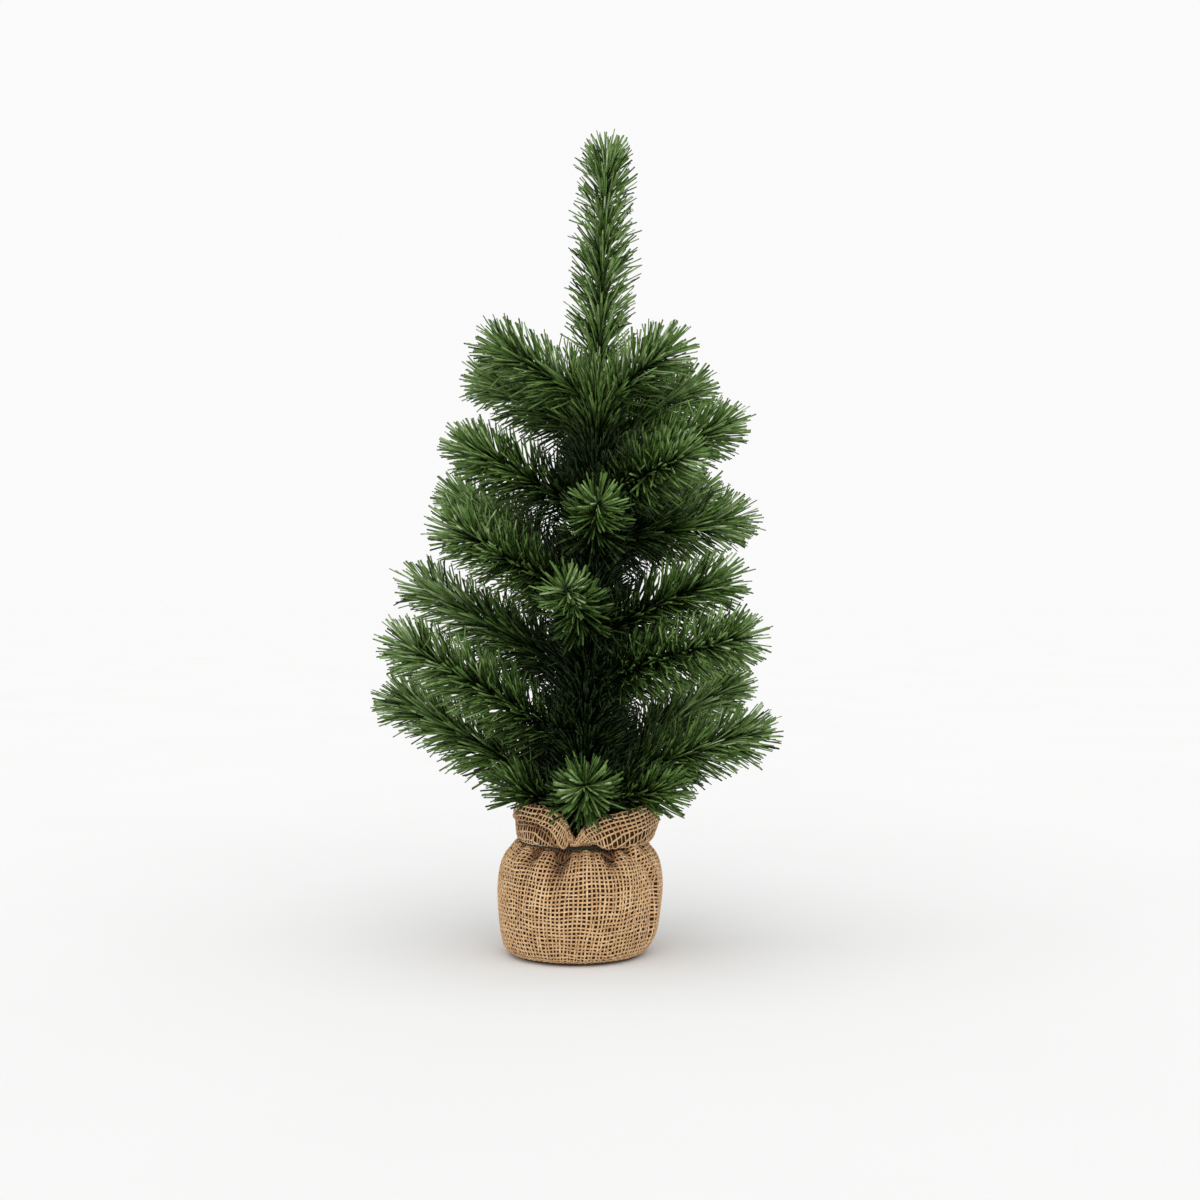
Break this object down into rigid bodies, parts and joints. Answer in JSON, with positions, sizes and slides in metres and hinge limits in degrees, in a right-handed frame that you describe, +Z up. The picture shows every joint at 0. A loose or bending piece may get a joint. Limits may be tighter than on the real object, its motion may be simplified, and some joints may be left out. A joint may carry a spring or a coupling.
{
  "type": "artificial tabletop tree",
  "caption": "Small artificial conifer with bendable needle-covered wire branches on a taped trunk, standing in a weighted pot wrapped in tied burlap.",
  "frame": {"origin": "centre of the round face that the tree stands on", "axes": "+Z up the tree, -Y towards its front, +X to the right seen from the front"},
  "size_m": [0.2971, 0.2431, 0.5999],
  "materials": {
    "needles": "soft satin PVC strips, mid to dark green",
    "branch_wire": "dark green twisted steel wire, satin",
    "green_tape": "matte wound tape",
    "steel_rod": "dull drawn steel",
    "burlap": "open plain weave of natural jute, matte",
    "twine": "dark green twisted twine",
    "pot_plastic": "dark brown moulded plastic",
    "cement": "rough cast cement",
    "base_felt": "stiff brown felt"
  },
  "bodies": {
    "base_and_trunk": {"base_disc": "base_felt", "burlap_sack": "burlap", "neck_tie": "twine", "plastic_pot": "pot_plastic", "cement_weight": "cement", "trunk_rod": "steel_rod", "trunk_tape": "green_tape"},
    "leader": {"leader_wire": "branch_wire", "leader_needles": "needles"},
    "branch_01": {"branch_01_wire": "branch_wire", "branch_01_needles": "needles"},
    "branch_02": {"branch_02_wire": "branch_wire", "branch_02_needles": "needles"},
    "branch_03": {"branch_03_wire": "branch_wire", "branch_03_needles": "needles"},
    "branch_04": {"branch_04_wire": "branch_wire", "branch_04_needles": "needles"},
    "branch_05": {"branch_05_wire": "branch_wire", "branch_05_needles": "needles"},
    "branch_06": {"branch_06_wire": "branch_wire", "branch_06_needles": "needles"},
    "branch_07": {"branch_07_wire": "branch_wire", "branch_07_needles": "needles"},
    "branch_08": {"branch_08_wire": "branch_wire", "branch_08_needles": "needles"},
    "branch_09": {"branch_09_wire": "branch_wire", "branch_09_needles": "needles"},
    "branch_10": {"branch_10_wire": "branch_wire", "branch_10_needles": "needles"},
    "branch_11": {"branch_11_wire": "branch_wire", "branch_11_needles": "needles"},
    "branch_12": {"branch_12_wire": "branch_wire", "branch_12_needles": "needles"},
    "branch_13": {"branch_13_wire": "branch_wire", "branch_13_needles": "needles"},
    "branch_14": {"branch_14_wire": "branch_wire", "branch_14_needles": "needles"},
    "branch_15": {"branch_15_wire": "branch_wire", "branch_15_needles": "needles"},
    "branch_16": {"branch_16_wire": "branch_wire", "branch_16_needles": "needles"},
    "branch_17": {"branch_17_wire": "branch_wire", "branch_17_needles": "needles"},
    "branch_18": {"branch_18_wire": "branch_wire", "branch_18_needles": "needles"},
    "branch_19": {"branch_19_wire": "branch_wire", "branch_19_needles": "needles"},
    "branch_20": {"branch_20_wire": "branch_wire", "branch_20_needles": "needles"},
    "branch_21": {"branch_21_wire": "branch_wire", "branch_21_needles": "needles"},
    "branch_22": {"branch_22_wire": "branch_wire", "branch_22_needles": "needles"},
    "branch_23": {"branch_23_wire": "branch_wire", "branch_23_needles": "needles"},
    "branch_24": {"branch_24_wire": "branch_wire", "branch_24_needles": "needles"},
    "branch_25": {"branch_25_wire": "branch_wire", "branch_25_needles": "needles"}
  },
  "joints": [
    {"name": "leader_bend", "type": "hinge", "parent": "base_and_trunk", "child": "leader", "pos_m": [0.01591, 0, 0.434], "axis": [1, 0, 0], "range_deg": [-20, 20], "deforming": ["leader_needles"]},
    {"name": "branch_01_bend", "type": "hinge", "parent": "base_and_trunk", "child": "branch_01", "pos_m": [-0.00106, -0.00253, 0.101], "axis": [-0.4695, 0.8829, 0], "range_deg": [-5, 50], "deforming": ["branch_01_needles"]},
    {"name": "branch_02_bend", "type": "hinge", "parent": "base_and_trunk", "child": "branch_02", "pos_m": [0.00389, -0.0054, 0.101], "axis": [-0.9994, -0.0349, 0], "range_deg": [-15, 50], "deforming": ["branch_02_needles"]},
    {"name": "branch_03_bend", "type": "hinge", "parent": "base_and_trunk", "child": "branch_03", "pos_m": [0.00853, -0.0027, 0.105], "axis": [-0.5, -0.866, 0], "range_deg": [-4, 55], "deforming": ["branch_03_needles"]},
    {"name": "branch_04_bend", "type": "hinge", "parent": "base_and_trunk", "child": "branch_04", "pos_m": [-0.00128, 0.00094, 0.11], "axis": [0.1736, 0.9848, 0], "range_deg": [-20, 45], "deforming": ["branch_04_needles"]},
    {"name": "branch_05_bend", "type": "hinge", "parent": "base_and_trunk", "child": "branch_05", "pos_m": [0.00959, -0.00056, 0.115], "axis": [-0.1045, -0.9945, 0], "range_deg": [-12, 50], "deforming": ["branch_05_needles"]},
    {"name": "branch_06_bend", "type": "hinge", "parent": "base_and_trunk", "child": "branch_06", "pos_m": [0.00865, 0.00332, 0.12], "axis": [0.6157, -0.788, 0], "range_deg": [-20, 45], "deforming": ["branch_06_needles"]},
    {"name": "branch_07_bend", "type": "hinge", "parent": "base_and_trunk", "child": "branch_07", "pos_m": [0.00607, 0.00537, 0.15], "axis": [0.9945, -0.1045, 0], "range_deg": [-20, 45], "deforming": ["branch_07_needles"]},
    {"name": "branch_08_bend", "type": "hinge", "parent": "base_and_trunk", "child": "branch_08", "pos_m": [0.00043, -0.00185, 0.15], "axis": [-0.342, 0.9397, 0], "range_deg": [-20, 40], "deforming": ["branch_08_needles"]},
    {"name": "branch_09_bend", "type": "hinge", "parent": "base_and_trunk", "child": "branch_09", "pos_m": [0.01152, -0.00317, 0.195], "axis": [-0.5878, -0.809, 0], "range_deg": [-20, 55], "deforming": ["branch_09_needles"]},
    {"name": "branch_10_bend", "type": "hinge", "parent": "base_and_trunk", "child": "branch_10", "pos_m": [0.00244, 0.00185, 0.205], "axis": [0.342, 0.9397, 0], "range_deg": [-20, 45], "deforming": ["branch_10_needles"]},
    {"name": "branch_11_bend", "type": "hinge", "parent": "base_and_trunk", "child": "branch_11", "pos_m": [0.01337, -0.00202, 0.228], "axis": [-0.3746, -0.9272, 0], "range_deg": [-20, 50], "deforming": ["branch_11_needles"]},
    {"name": "branch_12_bend", "type": "hinge", "parent": "base_and_trunk", "child": "branch_12", "pos_m": [0.00764, -0.00532, 0.234], "axis": [-0.9848, 0.1736, 0], "range_deg": [-20, 50], "deforming": ["branch_12_needles"]},
    {"name": "branch_13_bend", "type": "hinge", "parent": "base_and_trunk", "child": "branch_13", "pos_m": [0.00478, -0.0027, 0.258], "axis": [-0.5, 0.866, 0], "range_deg": [-20, 45], "deforming": ["branch_13_needles"]},
    {"name": "branch_14_bend", "type": "hinge", "parent": "base_and_trunk", "child": "branch_14", "pos_m": [0.00546, 0.00332, 0.265], "axis": [0.6157, 0.788, 0], "range_deg": [-20, 40], "deforming": ["branch_14_needles"]},
    {"name": "branch_15_bend", "type": "hinge", "parent": "base_and_trunk", "child": "branch_15", "pos_m": [0.01403, 0.00414, 0.288], "axis": [0.766, -0.6428, 0], "range_deg": [-20, 50], "deforming": ["branch_15_needles"]},
    {"name": "branch_16_bend", "type": "hinge", "parent": "base_and_trunk", "child": "branch_16", "pos_m": [0.01128, -0.00539, 0.3], "axis": [-0.9986, -0.0523, 0], "range_deg": [-20, 55], "deforming": ["branch_16_needles"]},
    {"name": "branch_17_bend", "type": "hinge", "parent": "base_and_trunk", "child": "branch_17", "pos_m": [0.0165, 0.00038, 0.303], "axis": [0.0698, -0.9976, 0], "range_deg": [-15, 65], "deforming": ["branch_17_needles"]},
    {"name": "branch_18_bend", "type": "hinge", "parent": "base_and_trunk", "child": "branch_18", "pos_m": [0.00657, -0.00131, 0.322], "axis": [-0.2419, 0.9703, 0], "range_deg": [-20, 45], "deforming": ["branch_18_needles"]},
    {"name": "branch_19_bend", "type": "hinge", "parent": "base_and_trunk", "child": "branch_19", "pos_m": [0.01564, -0.00401, 0.328], "axis": [-0.7431, -0.6691, 0], "range_deg": [-20, 55], "deforming": ["branch_19_needles"]},
    {"name": "branch_20_bend", "type": "hinge", "parent": "base_and_trunk", "child": "branch_20", "pos_m": [0.01221, 0.0054, 0.338], "axis": [0.9994, 0.0349, 0], "range_deg": [-20, 45], "deforming": ["branch_20_needles"]},
    {"name": "branch_21_bend", "type": "hinge", "parent": "base_and_trunk", "child": "branch_21", "pos_m": [0.01801, -0.00094, 0.346], "axis": [-0.1736, -0.9848, 0], "range_deg": [-20, 50], "deforming": ["branch_21_needles"]},
    {"name": "branch_22_bend", "type": "hinge", "parent": "base_and_trunk", "child": "branch_22", "pos_m": [0.01795, 0.0027, 0.362], "axis": [0.5, -0.866, 0], "range_deg": [-20, 40], "deforming": ["branch_22_needles"]},
    {"name": "branch_23_bend", "type": "hinge", "parent": "base_and_trunk", "child": "branch_23", "pos_m": [0.00918, 0.0027, 0.378], "axis": [0.5, 0.866, 0], "range_deg": [-20, 45], "deforming": ["branch_23_needles"]},
    {"name": "branch_24_bend", "type": "hinge", "parent": "base_and_trunk", "child": "branch_24", "pos_m": [0.01956, -0.00202, 0.397], "axis": [-0.3746, -0.9272, 0], "range_deg": [-20, 35], "deforming": ["branch_24_needles"]},
    {"name": "branch_25_bend", "type": "hinge", "parent": "base_and_trunk", "child": "branch_25", "pos_m": [0.00938, -0.00066, 0.402], "axis": [-0.1219, 0.9925, 0], "range_deg": [-20, 45], "deforming": ["branch_25_needles"]}
  ]
}
